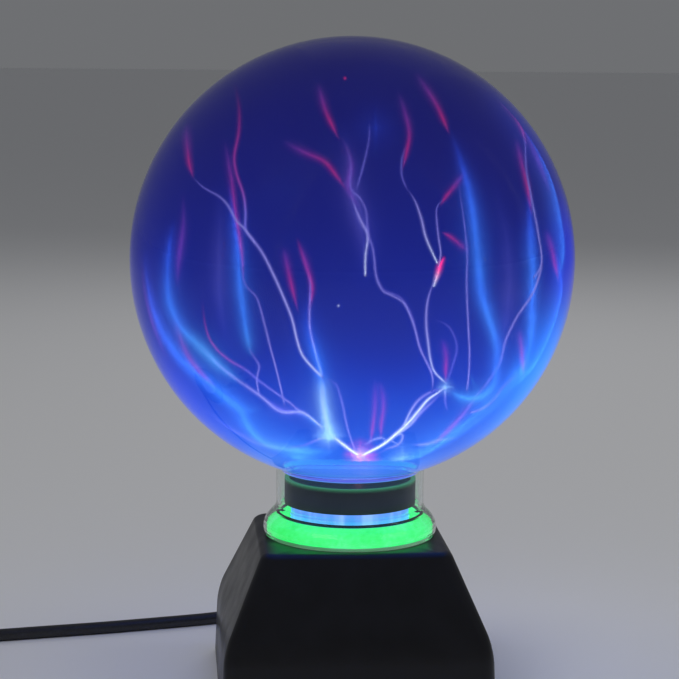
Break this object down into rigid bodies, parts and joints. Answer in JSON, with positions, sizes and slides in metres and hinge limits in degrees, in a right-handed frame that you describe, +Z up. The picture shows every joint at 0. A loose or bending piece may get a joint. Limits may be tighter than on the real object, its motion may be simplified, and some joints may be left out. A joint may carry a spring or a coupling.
{
  "type": "plasma ball",
  "caption": "Plasma ball: clear glass globe with glowing streamers on a black tapered square base, with a lit green ring at the neck, a rear rocker switch and a mains cord.",
  "frame": {"origin": "centre of the base's footprint, on the surface the feet stand on; the free cord is not counted", "axes": "+Z up through the globe's centre, +X to the lamp's right and -Y to its front, seen from the front; the switch and cord are on the +Y face"},
  "size_m": [0.357, 0.211, 0.298],
  "materials": {
    "black_plastic": "satin black moulded ABS",
    "dark_plastic": "matt black moulded plastic",
    "screw_steel": "zinc-plated steel",
    "foot_rubber": "soft black rubber",
    "globe_glass": "clear blown glass",
    "floor_glass": "clear pressed glass",
    "electrode_metal": "bare metal tip",
    "lead_insulation": "red silicone insulation",
    "collar_plastic": "dark smoky insulating plastic",
    "mirror_foil": "polished foil band",
    "white_plastic": "white moulded plastic",
    "diffuser": "translucent ring lit green",
    "led_lens": "small lit lamps",
    "board_white": "white solder resist",
    "board_green": "green circuit board",
    "wire_yellow": "yellow wire insulation",
    "wire_blue": "blue wire insulation",
    "brass": "turned brass",
    "ferrite": "dark ferrite",
    "copper_winding": "varnished copper winding",
    "chip_plastic": "black moulded package",
    "aluminium": "extruded aluminium",
    "capacitor_blue": "sleeved capacitor",
    "capacitor_brown": "dipped capacitor",
    "resistor_body": "resistor body",
    "fuse_glass": "glass fuse with metal caps",
    "cord_rubber": "black PVC sheath",
    "pin_metal": "plated pins"
  },
  "bodies": {
    "lamp": {"base_housing": "black_plastic", "bottom_plate": "dark_plastic", "housing_screws": "screw_steel", "rubber_feet": "foot_rubber", "glass_globe": "globe_glass", "glass_neck": "globe_glass", "glass_floor": "floor_glass", "electrode_tip": "electrode_metal", "high_voltage_lead": "lead_insulation", "insulating_collar": "collar_plastic", "reflector_band": "mirror_foil", "neck_cup": "white_plastic", "seal_ring": "foot_rubber", "diffuser_ring": "diffuser", "led_board": "board_white", "green_leds": "led_lens", "led_wires": "wire_yellow", "main_circuit_board": "board_green", "board_standoffs": "brass", "board_screws": "screw_steel", "transformer_core": "ferrite", "transformer_coil": "copper_winding", "power_transistor": "chip_plastic", "transistor_screw": "screw_steel", "heat_sink": "aluminium", "filter_capacitor": "capacitor_blue", "small_capacitors": "capacitor_brown", "resistors": "resistor_body", "fuse": "fuse_glass", "microphone": "aluminium", "switch_body": "dark_plastic", "switch_wires": "wire_blue", "strain_relief": "cord_rubber", "power_cord": "cord_rubber", "cord_coil": "cord_rubber", "cord_tail": "cord_rubber", "plug_body": "cord_rubber", "plug_pins": "pin_metal"},
    "rocker": {"switch_rocker": "black_plastic"}
  },
  "joints": [
    {"name": "rocker_tilt", "type": "hinge", "parent": "lamp", "child": "rocker", "pos_m": [0.027, 0.0584, 0.017], "axis": [0, 0, 1], "range_deg": [0, 22]}
  ]
}
